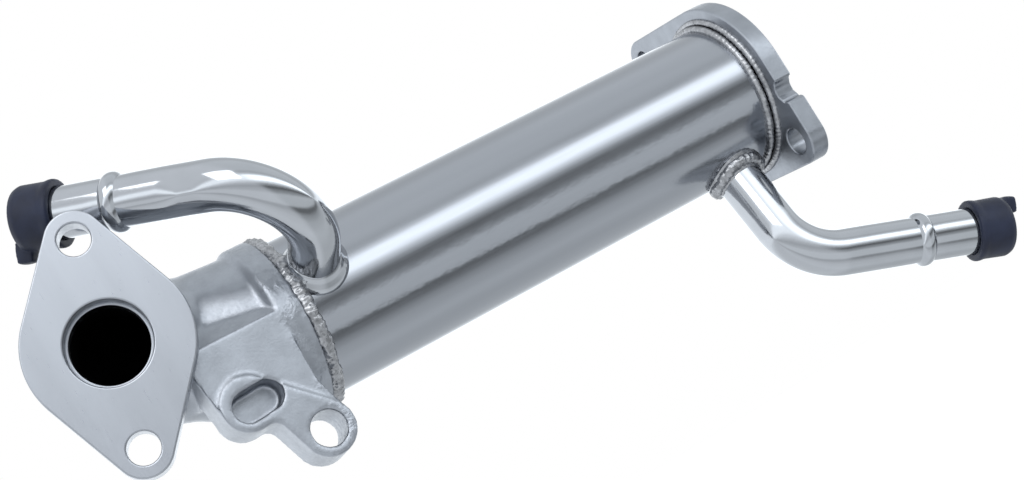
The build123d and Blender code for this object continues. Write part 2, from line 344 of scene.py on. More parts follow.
def buildWorld():
    world = bpy.data.worlds.new("studioRoom")
    bpy.context.scene.world = world
    world.use_nodes = True
    tree = world.node_tree
    tree.nodes.clear()
    coords = addNode(tree, "ShaderNodeTexCoord")
    split = addNode(tree, "ShaderNodeSeparateXYZ", {0: coords.outputs["Generated"]})
    towards = doMath(tree, "MULTIPLY", split.outputs["Y"], -1.0)
    angle = doMath(tree, "ARCTAN2", split.outputs["Z"], towards)
    share = doMath(tree, "MULTIPLY_ADD", angle, 1 / (2 * math.pi), 0.5)
    ramp = addNode(tree, "ShaderNodeValToRGB", {"Fac": share})
    ramp.color_ramp.interpolation = "EASE"
    stops = ramp.color_ramp.elements
    stops.remove(stops[-1])
    brightest = max(level for _, level in studio["strips"])
    for index, (degrees, level) in enumerate(studio["strips"]):
        stop = stops[0] if index == 0 else stops.new((degrees + 180) / 360)
        stop.position = (degrees + 180) / 360
        grey = level / brightest
        stop.color = (*(grey * tint for tint in studio["stripTint"]), 1)
    strips = addNode(tree, "ShaderNodeBackground", {"Color": ramp.outputs["Color"]})
    strips.inputs["Strength"].default_value = brightest * studio["stripLight"]
    card = addNode(tree, "ShaderNodeBackground", {"Color": (*studio["cardTint"], 1),
                                                  "Strength": studio["cardLight"]})
    fade = {"Value": split.outputs["X"], "From Min": studio["cardEdge"][0], "From Max": studio["cardEdge"][1],
            "To Min": 0.0, "To Max": studio["cardShare"]}
    sideways = addNode(tree, "ShaderNodeMapRange", fade, interpolation_type="SMOOTHSTEP").outputs[0]
    room = addNode(tree, "ShaderNodeMixShader", {0: sideways, 1: strips.outputs[0], 2: card.outputs[0]})
    white = addNode(tree, "ShaderNodeBackground", {"Color": (1, 1, 1, 1), "Strength": 1.0})
    path = addNode(tree, "ShaderNodeLightPath")
    seen = doMath(tree, "MAXIMUM", path.outputs["Is Camera Ray"], path.outputs["Is Transmission Ray"])
    mix = addNode(tree, "ShaderNodeMixShader", {0: seen, 1: room.outputs[0], 2: white.outputs[0]})
    addNode(tree, "ShaderNodeOutputWorld", {"Surface": mix.outputs[0]})


def buildCamera():
    data = bpy.data.cameras.new("camera")
    data.lens = studio["lens"]
    data.sensor_width = 36.0
    data.clip_start = 0.01
    camera = linkObject("camera", data)
    right = Vector(studio["cameraRight"]).normalized()
    up = Vector(studio["cameraUp"])
    up = (up - right * up.dot(right)).normalized()
    turn = Matrix((right, up, right.cross(up))).transposed()
    camera.matrix_world = Matrix.Translation(studio["cameraAt"]) @ turn.to_4x4()
    bpy.context.scene.camera = camera


def buildFloor():
    height = cadBox[0][2] - studio["floorDrop"]
    half = studio["floorSize"] / 2
    mesh = bpy.data.meshes.new("floor")
    corners = [(x * half, y * half, height) for x, y in ((-1, -1), (1, -1), (1, 1), (-1, 1))]
    mesh.from_pydata(corners, [], [(0, 1, 2, 3)])
    floor = linkObject("floor", mesh)
    material = bpy.data.materials.new("paleFloor")
    material.use_nodes = True
    tree = material.node_tree
    matt = tree.nodes["Principled BSDF"]
    matt.inputs["Base Color"].default_value = (*studio["floorColor"], 1)
    matt.inputs["Roughness"].default_value = 0.9
    glow = addNode(tree, "ShaderNodeEmission", {"Strength": 1.0})
    clear = addNode(tree, "ShaderNodeBsdfTransparent")
    path = addNode(tree, "ShaderNodeLightPath")
    share = doMath(tree, "MULTIPLY", path.outputs["Is Camera Ray"], studio["floorGlow"])
    pale = addNode(tree, "ShaderNodeMixShader", {0: share, 1: matt.outputs[0], 2: glow.outputs[0]})
    # the metal looks past the floor at the lower strips
    top = addNode(tree, "ShaderNodeMixShader", {0: path.outputs["Is Glossy Ray"], 1: pale.outputs[0],
                                                2: clear.outputs[0]})
    tree.links.new(top.outputs[0], tree.nodes["Material Output"].inputs["Surface"])
    mesh.materials.append(material)


def buildLamp():
    data = bpy.data.lights.new("softbox", "AREA")
    data.shape = "SQUARE"
    data.size = studio["lampSize"]
    data.energy = studio["lampPower"]
    lamp = linkObject("softbox", data)
    target = Vector(studio["lampAim"])
    lamp.location = target + Vector(studio["lampOffset"])
    lamp.rotation_euler = (target - lamp.location).to_track_quat("-Z", "Y").to_euler()


bpy.context.scene.view_settings.view_transform = "Standard"
buildWorld()
buildCamera()
buildFloor()
buildLamp()
report("studio ready")


# Finishes. Grain, lumps and streaks are sizes and heights on the metal in millimetres

finishes = {
    "castSteel": {"color": (0.335, 0.355, 0.390), "roughness": 0.40, "mottle": 0.10,
                  "grain": (0.8, 0.035), "lumps": (5.0, 0.045), "stretch": (1, 1, 1)},
    "shellSteel": {"color": (0.335, 0.350, 0.380), "roughness": 0.17, "mottle": 0.05,
                   "grain": (0.6, 0.003), "lumps": (9.0, 0.02), "stretch": (0.04, 1, 1)},
    "machinedSteel": {"color": (0.345, 0.362, 0.395), "roughness": 0.33, "mottle": 0.07,
                      "grain": (0.5, 0.008), "lumps": (12.0, 0.05), "stretch": (1, 1, 0.12)},
    "plateSteel": {"color": (0.300, 0.318, 0.350), "roughness": 0.36, "mottle": 0.10,
                   "grain": (0.7, 0.02), "lumps": (6.0, 0.08), "stretch": (1, 1, 1)},
    "pipeSteel": {"color": (0.400, 0.415, 0.440), "roughness": 0.11, "mottle": 0.03,
                  "grain": (0.5, 0.002), "lumps": (7.0, 0.03), "stretch": (1, 1, 1)},
    "weldSteel": {"color": (0.330, 0.335, 0.350), "roughness": 0.30, "mottle": 0.35,
                  "grain": (0.7, 0.08), "lumps": (2.2, 0.25), "stretch": (1, 1, 1)},
    # near-black steel: painted shade for the gas way, gas tubes and tube plates deep inside the cooler
    "paintedShadeSteel": {"color": (0.020, 0.020, 0.022), "roughness": 0.5, "mottle": 0.4,
                   "grain": (0.8, 0.03), "lumps": (6.0, 0.10), "stretch": (1, 1, 1)},
}


def cloud(tree, coords, size, detail=3.0, stretch=(1, 1, 1)):
    mapping = addNode(tree, "ShaderNodeMapping", {"Vector": coords, "Scale": stretch})
    sizes = {"Vector": mapping.outputs[0], "Scale": 1 / (size * mm), "Detail": detail}
    return addNode(tree, "ShaderNodeTexNoise", sizes).outputs["Fac"]


def spread(tree, value, low, high, fromLow=0.25, fromHigh=0.75):
    sizes = {"Value": value, "From Min": fromLow, "From Max": fromHigh, "To Min": low, "To Max": high}
    return addNode(tree, "ShaderNodeMapRange", sizes).outputs[0]


def blendColors(tree, factor, first, second):
    mix = addNode(tree, "ShaderNodeMix", {0: factor}, data_type="RGBA")
    for index, color in ((6, first), (7, second)):
        if isinstance(color, bpy.types.NodeSocket):
            tree.links.new(color, mix.inputs[index])
        else:
            mix.inputs[index].default_value = (*color, 1)
    return mix.outputs[2]


def metal(name):
    # colour, roughness and height vary with soft clouds; returns the material and what other steps add to
    finish = finishes[name]
    material = bpy.data.materials.new(name)
    material.use_nodes = True
    tree = material.node_tree
    shader = tree.nodes["Principled BSDF"]
    shader.inputs["Metallic"].default_value = 1.0
    coords = addNode(tree, "ShaderNodeTexCoord").outputs["Object"]
    grain = cloud(tree, coords, finish["grain"][0], 3.0, finish["stretch"])
    lumps = cloud(tree, coords, finish["lumps"][0], 4.0, finish["stretch"])
    dark = [channel * (1 - finish["mottle"]) for channel in finish["color"]]
    light = [channel * (1 + finish["mottle"]) for channel in finish["color"]]
    tree.links.new(blendColors(tree, spread(tree, lumps, 0, 1), dark, light), shader.inputs["Base Color"])
    rough = spread(tree, grain, finish["roughness"] * 0.8, finish["roughness"] * 1.2)
    tree.links.new(rough, shader.inputs["Roughness"])
    height = doMath(tree, "MULTIPLY_ADD", grain, finish["grain"][1],
                    doMath(tree, "MULTIPLY", lumps, finish["lumps"][1]))
    bump = addNode(tree, "ShaderNodeBump", {"Height": height, "Distance": mm, "Strength": 1.0})
    tree.links.new(bump.outputs[0], shader.inputs["Normal"])
    return material, tree, coords, height, bump


# mottled band below the middle of the shell: from and to in degrees, its soft edge in radians
scuffs = {"from": -33, "to": -7, "edge": 0.12, "size": 2.6, "height": 0.075, "stretch": (0.7, 1, 1)}


def shellMetal():
    # the tube is clean but for a faint mottled band along its camera side
    material, tree, coords, height, bump = metal("shellSteel")
    split = addNode(tree, "ShaderNodeSeparateXYZ", {0: coords})
    turn = doMath(tree, "ARCTAN2", split.outputs["Z"], doMath(tree, "MULTIPLY", split.outputs["Y"], -1.0))
    low, high = math.radians(scuffs["from"]), math.radians(scuffs["to"])
    edges = []
    for outside, inside in ((low, low + scuffs["edge"]), (high, high - scuffs["edge"])):
        fade = {"Value": turn, "From Min": outside, "From Max": inside}
        edges.append(addNode(tree, "ShaderNodeMapRange", fade, interpolation_type="SMOOTHSTEP").outputs[0])
    band = doMath(tree, "MULTIPLY", *edges)
    marks = cloud(tree, coords, scuffs["size"], 2.0, scuffs["stretch"])
    scuff = doMath(tree, "MULTIPLY", doMath(tree, "MULTIPLY", marks, scuffs["height"]), band)
    tree.links.new(doMath(tree, "ADD", height, scuff), bump.inputs["Height"])
    return material


# sandy towards the front weld, in patches that start to show at bare and are full at covered
roughCollar = {"from": -184.5, "full": -180.0, "size": 1.6, "height": 0.45, "patches": 7.0, "bare": 0.42,
               "covered": 0.6}


def castMetal():
    # as cast, rougher on the collar beside the weld
    material, tree, coords, height, bump = metal("castSteel")
    split = addNode(tree, "ShaderNodeSeparateXYZ", {0: coords})
    fade = {"Value": split.outputs["X"], "From Min": roughCollar["from"] * mm,
            "From Max": roughCollar["full"] * mm}
    near = addNode(tree, "ShaderNodeMapRange", fade, interpolation_type="SMOOTHSTEP").outputs[0]
    grit = cloud(tree, coords, roughCollar["size"], 4.0)
    patches = cloud(tree, coords, roughCollar["patches"], 2.0)
    patchy = spread(tree, patches, 0, 1, roughCollar["bare"], roughCollar["covered"])
    amount = doMath(tree, "MULTIPLY", doMath(tree, "MULTIPLY", near, patchy), roughCollar["height"])
    tree.links.new(doMath(tree, "MULTIPLY_ADD", grit, amount, height), bump.inputs["Height"])
    return material


softRubber = {"dark": (0.004, 0.006, 0.017), "light": (0.011, 0.016, 0.038), "roughness": 0.52, "gloss": 0.30,
              "clouds": 6.0, "grain": 0.6, "grainHeight": 0.03}


def rubber():
    material = bpy.data.materials.new("capRubber")
    material.use_nodes = True
    tree = material.node_tree
    shader = tree.nodes["Principled BSDF"]
    shader.inputs["Roughness"].default_value = softRubber["roughness"]
    shader.inputs["Specular IOR Level"].default_value = softRubber["gloss"]
    coords = addNode(tree, "ShaderNodeTexCoord").outputs["Object"]
    clouds = spread(tree, cloud(tree, coords, softRubber["clouds"], 4.0), 0, 1)
    color = blendColors(tree, clouds, softRubber["dark"], softRubber["light"])
    tree.links.new(color, shader.inputs["Base Color"])
    grain = cloud(tree, coords, softRubber["grain"], 2.0)
    bump = addNode(tree, "ShaderNodeBump", {"Height": grain, "Distance": softRubber["grainHeight"] * mm,
                                            "Strength": 1.0})
    tree.links.new(bump.outputs[0], shader.inputs["Normal"])
    return material


castSteel = castMetal()
shellSteel = shellMetal()
machinedSteel = metal("machinedSteel")[0]
plateSteel = metal("plateSteel")[0]
pipeSteel = metal("pipeSteel")[0]
weldSteel = metal("weldSteel")[0]
# near-black steel, painted shade for the cooler's deep insides
paintedShadeSteel = metal("paintedShadeSteel")[0]
capRubber = rubber()
report("finishes ready")


# Inlet flange: flat machined plate with bevelled rims, and a turned seat inside its bore

inletFlange = {
    "centre": (-228.7, -33.9, 13.1),
    "faces": (-0.189095, -0.981959, 0.0),  # way the mating face looks
    "boltLine": (0.177262, -0.034135, 0.983571),
    "thickness": 7.5,
    "discRadius": 23.6,
    "earRadius": 8.2,
    "boltSpacing": 60.0,
    "boltHole": 4.6,
    "boreRadius": 12.05,
    "boreDepth": 4.0,
    "throatRadius": 11.0,
    "bevel": 0.5,
    "seatLength": 5.5,
    "seatLap": 0.2,  # how far the seat reaches into the plate
    "seatSoftness": 0.35,
}


def inletPlace():
    out = Vector(inletFlange["faces"]).normalized()
    right = Vector(inletFlange["boltLine"]).normalized()
    turn = Matrix((right, out.cross(right), out)).transposed().to_4x4()
    return Matrix.Translation(inletFlange["centre"]) @ turn


def buildInletFlange():
    half = inletFlange["boltSpacing"] / 2
    circles = [((0, 0), inletFlange["discRadius"])]
    circles += [((side * half, 0), inletFlange["earRadius"]) for side in (-1, 1)]
    loops = [hullOfCircles(circles), circleLoop((0, 0), inletFlange["boreRadius"], 128, True)]
    loops += [circleLoop((side * half, 0), inletFlange["boltHole"], 64, True) for side in (-1, 1)]
    thickness, bevel = inletFlange["thickness"], inletFlange["bevel"]
    plate = platePiece("inletFlangePlate", loops, thickness, bevel, inletPlace())
    dress(plate, machinedSteel)
    wide, throat = inletFlange["boreRadius"] + inletFlange["seatLap"], inletFlange["throatRadius"]
    top = -inletFlange["boreDepth"]
    foot = top - inletFlange["seatLength"]
    outline = softened([(top, wide), (top, throat), (foot, throat), (foot, wide)], inletFlange["seatSoftness"])
    seat = turnedPiece("inletBoreSeat", inletFlange["centre"], inletFlange["faces"], outline, 128)
    shadeSmooth(seat.data, 50)
    dress(seat, machinedSteel)


buildInletFlange()
report("inlet flange built")


# Casting: elbow, collar and bracket, from a remeshed copy of the solid with its sand-cast edges softened

casting = {
    "voxel": 0.62,
    "edgeSmoothing": 3,
    "elbowSmoothing": 22,
    "elbowCorners": [(-179, 0, 0), (-222.2, 0, 13.1), (-228.0, -30.2, 13.1)],
    "elbowBend": 30.0,
    "elbowRadii": [(0, 27.0), (26, 21.0), (120, 21.0)],  # distance along the elbow, outer radius
    "elbowNearness": 1.1,  # how near a point is to that radius to count as the elbow's skin
    "elbowStart": -186,
    "gasWayRadii": [(0, 20.9), (26, 11.4), (120, 11.4)],
    "pathStep": 0.8,
    "clearOfPlate": 8.2,  # from here back the skin isn't part of the flange
    "drawBackFrom": 8.6,  # depth behind the flange's face, drawn back in full 1 mm nearer to it
    "drawBack": 0.4,  # how far the copy draws back under the flange plate
    "waviness": 0.07,
    "waveSize": 9.0,
}


def radiusAlong(place, key):
    stops = casting[key]
    return np.interp(place, [stop[0] for stop in stops], [stop[1] for stop in stops])


def buildCasting():
    mesh = nodes["inlet_casting"].data.copy()
    bm = bmesh.new()
    bm.from_mesh(mesh)
    bmesh.ops.remove_doubles(bm, verts=bm.verts, dist=2e-6)
    bm.to_mesh(mesh)
    bm.free()
    mesh.materials.clear()
    piece = linkObject("inletCasting", mesh)
    remesh = piece.modifiers.new("sandSkin", "REMESH")
    remesh.mode = "VOXEL"
    remesh.voxel_size = casting["voxel"] * mm
    bakeModifiers(piece)
    # which points belong to the elbow's round outside
    mesh = piece.data
    coords = np.empty(len(mesh.vertices) * 3)
    mesh.vertices.foreach_get("co", coords)
    points = coords.reshape(-1, 3) / mm
    path = roundedPath(casting["elbowCorners"], [casting["elbowBend"]], casting["pathStep"])
    distance, place = nearestOnPath(points, path)
    depth = (np.array(inletFlange["centre"]) - points) @ np.array(inletFlange["faces"])
    onElbow = np.abs(distance - radiusAlong(place, "elbowRadii")) < casting["elbowNearness"]
    onElbow &= (points[:, 0] < casting["elbowStart"]) & (depth > casting["clearOfPlate"])
    group = piece.vertex_groups.new(name="elbow")
    group.add([int(index) for index in np.nonzero(onElbow)[0]], 1.0, "REPLACE")
    # the elbow is smoothed by itself first, then every edge
    for label, rounds in (("elbow", casting["elbowSmoothing"]), ("", casting["edgeSmoothing"])):
        smooth = piece.modifiers.new("softEdges", "SMOOTH")
        smooth.factor = 0.5
        smooth.iterations = rounds
        smooth.vertex_group = label
    bakeModifiers(piece)
    mesh = piece.data
    # draw back under the plate, and give the raw casting its slight waves
    count = len(mesh.vertices)
    coords, normals = np.empty(count * 3), np.empty(count * 3)
    mesh.vertices.foreach_get("co", coords)
    mesh.vertices.foreach_get("normal", normals)
    points, normals = coords.reshape(-1, 3), normals.reshape(-1, 3)
    behind = (np.array(inletFlange["centre"]) - points / mm) @ np.array(inletFlange["faces"])
    share = np.clip(casting["drawBackFrom"] - behind, 0, 1)
    waves = np.array([noise.noise(Vector(point)) for point in points / (casting["waveSize"] * mm)])
    push = waves * casting["waviness"] * (1 - share) - casting["drawBack"] * share
    points += normals * (push * mm)[:, None]
    mesh.vertices.foreach_set("co", points.ravel())
    mesh.update()
    # the gas way inside is near-black, painted shade of the deep bore
    count = len(mesh.polygons)
    centres = np.empty(count * 3)
    mesh.polygons.foreach_get("center", centres)
    distance, place = nearestOnPath(centres.reshape(-1, 3) / mm, path)
    inside = distance < radiusAlong(place, "gasWayRadii")
    mesh.materials.append(castSteel)
    mesh.materials.append(paintedShadeSteel)
    mesh.polygons.foreach_set("material_index", inside.astype(np.int32))
    piece.vertex_groups.clear()
    shadeSmooth(mesh, 180)
    dress(piece, castSteel, ["inlet_casting"])
    report(f"casting has {len(mesh.polygons)} faces")


buildCasting()


# Shell: one long thin tube

shellTube = {"start": -179.0, "end": -4.5, "outer": 25.0, "inner": 23.5, "sides": 192, "steps": 24}


def buildShell():
    length = shellTube["end"] - shellTube["start"]
    places = [length * step / shellTube["steps"] for step in range(shellTube["steps"] + 1)]
    outline = [(place, shellTube["outer"]) for place in places]
    outline += [(place, shellTube["inner"]) for place in reversed(places)]
    tube = turnedPiece("shellTube", (shellTube["start"], 0, 0), (1, 0, 0), outline, shellTube["sides"])
    shadeSmooth(tube.data, 40)
    dress(tube, shellSteel, ["shell"])


buildShell()
report("shell built")


# Outlet flange: disc with two ears and a rough relief in its rim

outletFlange = {
    "thickness": 6.5,
    "discRadius": 31.5,
    "earRadius": 8.3,
    "earLow": (-23.0, -26.4),
    "earHigh": (32.7, 29.2),
    "boltHole": 4.3,
    "boreRadius": 22.0,
    "notchAt": (-32.0, -11.5),
    "notchRadius": 3.9,
    "notchSteps": 24,
    "notchJitter": 0.35,
    "notchWaves": 0.45,  # share of a wave of the jitter in one step
    "bevel": 0.6,
}


def notchedOutline():
    circles = [((0, 0), outletFlange["discRadius"])]
    circles += [(outletFlange[ear], outletFlange["earRadius"]) for ear in ("earLow", "earHigh")]
    hull = hullOfCircles(circles)
    centre = Vector(outletFlange["notchAt"])
    radius = outletFlange["notchRadius"]
    keep = [(Vector(point) - centre).length > radius for point in hull]
    first = next(index for index in range(len(hull)) if keep[index] and not keep[index - 1])
    turned = list(zip(hull[first:] + hull[:first], keep[first:] + keep[:first]))
    outer = [point for point, kept in turned if kept]
    # the relief runs from the last kept point back to the first, round the inside of its circle
    start = math.atan2(outer[-1][1] - centre.y, outer[-1][0] - centre.x)
    stop = math.atan2(outer[0][1] - centre.y, outer[0][0] - centre.x)
    inward = math.atan2(-centre.y, -centre.x)
    sweep = (inward - start + math.pi) % (2 * math.pi) - math.pi
    sweep += (stop - inward + math.pi) % (2 * math.pi) - math.pi
    relief = []
    for step in range(1, outletFlange["notchSteps"]):
        turn = start + sweep * step / outletFlange["notchSteps"]
        wave = noise.noise(Vector((step * outletFlange["notchWaves"], 0.3, 2.0)))
        rough = radius + wave * outletFlange["notchJitter"]
        relief.append((centre.x + rough * math.cos(turn), centre.y + rough * math.sin(turn)))
    return outer + relief


def buildOutletFlange():
    loops = [notchedOutline(), circleLoop((0, 0), outletFlange["boreRadius"], 160, True)]
    for ear in ("earLow", "earHigh"):
        loops.append(circleLoop(outletFlange[ear], outletFlange["boltHole"], 64, True))
    turn = Matrix(((0, 0, 1, 0), (1, 0, 0, 0), (0, 1, 0, 0), (0, 0, 0, 1)))  # sketch x and y become Y and Z
    plate = platePiece("outletFlangePlate", loops, outletFlange["thickness"], outletFlange["bevel"], turn)
    dress(plate, plateSteel, ["outlet_flange"])


buildOutletFlange()
report("outlet flange built")


# Tube bundle: gas tubes on a triangular pitch, made by Geometry Nodes

bundle = {"Tube Diameter": 12.4 * mm, "Wall": 0.8 * mm, "Pitch": 15.0 * mm, "Start": -176.0 * mm,
          "End": -7.5 * mm}


def bundleTree():
    tree, given = newGeometryTree("gasTubeBundle", bundle)
    length = doMath(tree, "SUBTRACT", given["End"], given["Start"])
    middle = doMath(tree, "MULTIPLY", doMath(tree, "ADD", given["End"], given["Start"]), 0.5)
    middleWidth = doMath(tree, "SUBTRACT", given["Tube Diameter"], given["Wall"])
    radius = doMath(tree, "MULTIPLY", middleWidth, 0.5)
    hoop = addNode(tree, "GeometryNodeCurvePrimitiveCircle", {"Resolution": 48, "Radius": radius})
    wall = {"Width": given["Wall"], "Height": length}
    section = addNode(tree, "GeometryNodeCurvePrimitiveQuadrilateral", wall)
    sweep = {"Curve": hoop.outputs[0], "Profile Curve": section.outputs[0]}
    tube = addNode(tree, "GeometryNodeCurveToMesh", sweep)
    ring = addNode(tree, "GeometryNodeMeshCircle", {"Vertices": 6, "Radius": given["Pitch"]})
    centre = addNode(tree, "GeometryNodeMeshLine", {"Count": 1})
    places = addNode(tree, "GeometryNodeJoinGeometry")
    for source in (ring, centre):
        tree.links.new(source.outputs[0], places.inputs[0])
    copies = {"Points": places.outputs[0], "Instance": tube.outputs[0]}
    tubes = addNode(tree, "GeometryNodeInstanceOnPoints", copies)
    shift = addNode(tree, "ShaderNodeCombineXYZ", {"X": middle})
    # the tubes stand along Z up to here and are laid along the shell
    turn = (math.pi / 2, 0, math.pi / 2)
    laid = addNode(tree, "GeometryNodeTransform", {"Geometry": tubes.outputs[0], "Rotation": turn,
                                                  "Translation": shift.outputs[0]})
    closeTree(tree, laid.outputs[0], given["Material"])
    return tree


def buildTubes():
    # the tubes take the near-black steel, painted shade of the shell's inside
    tubes = runTree("gasTubes", bundleTree(), bundle, paintedShadeSteel, bpy.data.meshes.new("gasTubes"))
    shadeSmooth(tubes.data, 40)
    dress(tubes, paintedShadeSteel, [f"gas_tube_{number:02d}" for number in range(1, 8)])


buildTubes()
report("tube bundle built")


# Coolant pipes: a few corners and bend radii go in, Geometry Nodes bend the tube and roll its bead

pipeSizes = {"Outer Radius": 7.5 * mm, "Bead Height": 1.25 * mm, "Bead Half Width": 2.2 * mm,
             "Bead From End": 28.5 * mm, "Neck Depth": 0.10 * mm, "Waviness": 0.08 * mm, "Sides": 64, "Seed": 3}
pipeForm = {
    "wall": 1.0,
    "step": 0.4,  # length of one step along the pipe
    "crown": 0.6,  # below 1 the bead's top is fuller
    "neck": -0.45,  # nearer to 0 the groove beside the bead is wider
    "waves": 90.0,  # per metre
}
inletPipe = {
    "corners": [(-164.5, -21.73, 8.12), (-164.5, -65.29, 24.41), (-191.8, -36.69, 41.91),
                (-228.1, -12.39, 59.61)],
    "bends": [20.0, 38.0],
    "root": (-164.5, 0, 0),
    "way": (0, -0.93667, 0.35021),
}
outletPipe = {
    "corners": [(-21.7, -5.42, -22.56), (-21.7, -14.24, -59.32), (41.9, -23.34, -82.52)],
    "bends": [20.0],
    "root": (-21.7, 0, 0),
    "way": (0, -0.23345, -0.97237),
}


def pipeTree():
    tree, given = newGeometryTree("bentPipe", pipeSizes)
    curve = addNode(tree, "GeometryNodeMeshToCurve", {"Mesh": given["Geometry"]})
    bend = addNode(tree, "GeometryNodeInputNamedAttribute", {"Name": "bendRadius"}, data_type="FLOAT")
    bent = addNode(tree, "GeometryNodeFilletCurve", {"Curve": curve.outputs[0], "Count": 40,
                                                    "Radius": bend.outputs[0]}, mode="POLY")
    fine = addNode(tree, "GeometryNodeResampleCurve", {"Curve": bent.outputs[0],
                                                      "Length": pipeForm["step"] * mm}, mode="LENGTH")
    along = addNode(tree, "GeometryNodeSplineParameter").outputs["Length"]
    whole = addNode(tree, "GeometryNodeSplineLength").outputs["Length"]
    bead = doMath(tree, "SUBTRACT", whole, given["Bead From End"])
    offset = doMath(tree, "DIVIDE", doMath(tree, "SUBTRACT", along, bead), given["Bead Half Width"])
    square = doMath(tree, "MULTIPLY", offset, offset)
    dome = doMath(tree, "MAXIMUM", doMath(tree, "SUBTRACT", 1.0, square), 0.0)
    crown = doMath(tree, "POWER", dome, pipeForm["crown"])
    neck = doMath(tree, "EXPONENT", doMath(tree, "MULTIPLY", square, pipeForm["neck"]))
    fullHeight = doMath(tree, "ADD", given["Bead Height"], given["Neck Depth"])
    radius = doMath(tree, "MULTIPLY_ADD", crown, fullHeight, given["Outer Radius"])
    radius = doMath(tree, "SUBTRACT", radius, doMath(tree, "MULTIPLY", neck, given["Neck Depth"]))
    hoop = addNode(tree, "GeometryNodeCurvePrimitiveCircle", {"Resolution": given["Sides"], "Radius": 1.0})
    skin = addNode(tree, "GeometryNodeCurveToMesh", {"Curve": fine.outputs[0], "Profile Curve": hoop.outputs[0],
                                                    "Scale": radius})
    position = addNode(tree, "GeometryNodeInputPosition")
    # the bends wave a little, as a bent tube's do
    clouds = addNode(tree, "ShaderNodeTexNoise", {"Vector": position.outputs[0], "W": given["Seed"],
                                                 "Scale": pipeForm["waves"], "Detail": 1.0},
                     noise_dimensions="4D")
    height = doMath(tree, "SUBTRACT", clouds.outputs["Fac"], 0.5)
    height = doMath(tree, "MULTIPLY", height, given["Waviness"])
    normal = addNode(tree, "GeometryNodeInputNormal")
    push = addNode(tree, "ShaderNodeVectorMath", {0: normal.outputs[0], "Scale": height}, operation="SCALE")
    moved = addNode(tree, "GeometryNodeSetPosition", {"Geometry": skin.outputs[0], "Offset": push.outputs[0]})
    closeTree(tree, moved.outputs[0], given["Material"])
    return tree


def buildPipe(name, tree, pipe, node):
    mesh = lineMesh(name, pipe["corners"])
    bends = mesh.attributes.new("bendRadius", "FLOAT", "POINT")
    for index, radius in enumerate(pipe["bends"], start=1):
        bends.data[index].value = radius * mm
    piece = runTree(name, tree, pipeSizes, pipeSteel, mesh)
    wall = piece.modifiers.new("wall", "SOLIDIFY")
    wall.thickness = pipeForm["wall"] * mm
    wall.offset = -1
    bakeModifiers(piece)
    shadeSmooth(piece.data, 40)
    dress(piece, pipeSteel, [node])


bentPipe = pipeTree()
buildPipe("coolantInletPipe", bentPipe, inletPipe, "coolant_inlet_pipe")
buildPipe("coolantOutletPipe", bentPipe, outletPipe, "coolant_outlet_pipe")
report("coolant pipes built")


# Welds and brazes: a seam line goes in, Geometry Nodes lay a rippled bead along it

weldStep = 0.3  # length of one step of a bead along its seam


def weldTree():
    sizes = {"Bead Radius": 1.6 * mm, "Ripple Pitch": 1.4 * mm, "Ripple Height": 0.25 * mm, "Lumps": 0.4 * mm,
             "Lump Size": 2.5 * mm, "Seed": 1}
    tree, given = newGeometryTree("weldBead", sizes)
    curve = addNode(tree, "GeometryNodeMeshToCurve", {"Mesh": given["Geometry"]})
    fine = addNode(tree, "GeometryNodeResampleCurve", {"Curve": curve.outputs[0], "Length": weldStep * mm},
                   mode="LENGTH")
    along = addNode(tree, "GeometryNodeSplineParameter").outputs["Length"]
    mark = {"Geometry": fine.outputs[0], "Name": "along", "Value": along}
    marked = addNode(tree, "GeometryNodeStoreNamedAttribute", mark, data_type="FLOAT", domain="POINT")
    section = {"Resolution": 26, "Radius": given["Bead Radius"]}
    hoop = addNode(tree, "GeometryNodeCurvePrimitiveCircle", section)
    sweep = {"Curve": marked.outputs[0], "Profile Curve": hoop.outputs[0]}
    bead = addNode(tree, "GeometryNodeCurveToMesh", sweep)
    spot = addNode(tree, "GeometryNodeInputNamedAttribute", {"Name": "along"}, data_type="FLOAT").outputs[0]
    position = addNode(tree, "GeometryNodeInputPosition").outputs[0]
    finer = addNode(tree, "ShaderNodeTexNoise", {"Vector": position, "W": given["Seed"], "Detail": 2.0,
                                                 "Scale": doMath(tree, "DIVIDE", 1.0, given["Lump Size"])},
                    noise_dimensions="4D").outputs["Fac"]
    drift = doMath(tree, "MULTIPLY_ADD", finer, given["Ripple Pitch"], spot)
    phase = doMath(tree, "MULTIPLY", doMath(tree, "DIVIDE", drift, given["Ripple Pitch"]), math.pi)
    wave = doMath(tree, "ABSOLUTE", doMath(tree, "SINE", phase))
    ripple = doMath(tree, "MULTIPLY", wave, given["Ripple Height"])
    lumps = doMath(tree, "MULTIPLY", doMath(tree, "SUBTRACT", finer, 0.5), given["Lumps"])
    normal = addNode(tree, "GeometryNodeInputNormal").outputs[0]
    push = addNode(tree, "ShaderNodeVectorMath", {0: normal, "Scale": doMath(tree, "ADD", ripple, lumps)},
                   operation="SCALE")
    moved = addNode(tree, "GeometryNodeSetPosition", {"Geometry": bead.outputs[0], "Offset": push.outputs[0]})
    closeTree(tree, moved.outputs[0], given["Material"])
    return tree


def ringSeam(x, radius, count=220):
    turns = [2 * math.pi * step / count for step in range(count)]
    return [(x, radius * math.cos(turn), radius * math.sin(turn)) for turn in turns]


def saddleSeam(pipe, reach, lift, count=160):
    # the line where a coolant pipe meets the round shell
    way = Vector(pipe["way"]).normalized()
    across = Vector((1, 0, 0)).cross(way)
    seam = []
    for step in range(count):
        turn = 2 * math.pi * step / count
        sideways = reach * math.sin(turn)
        height = math.sqrt(shellTube["outer"] ** 2 - sideways ** 2) + lift
        foot = Vector(pipe["root"]) + Vector((reach * math.cos(turn), 0, 0))
        seam.append(foot + across * sideways + way * height)
    return seam


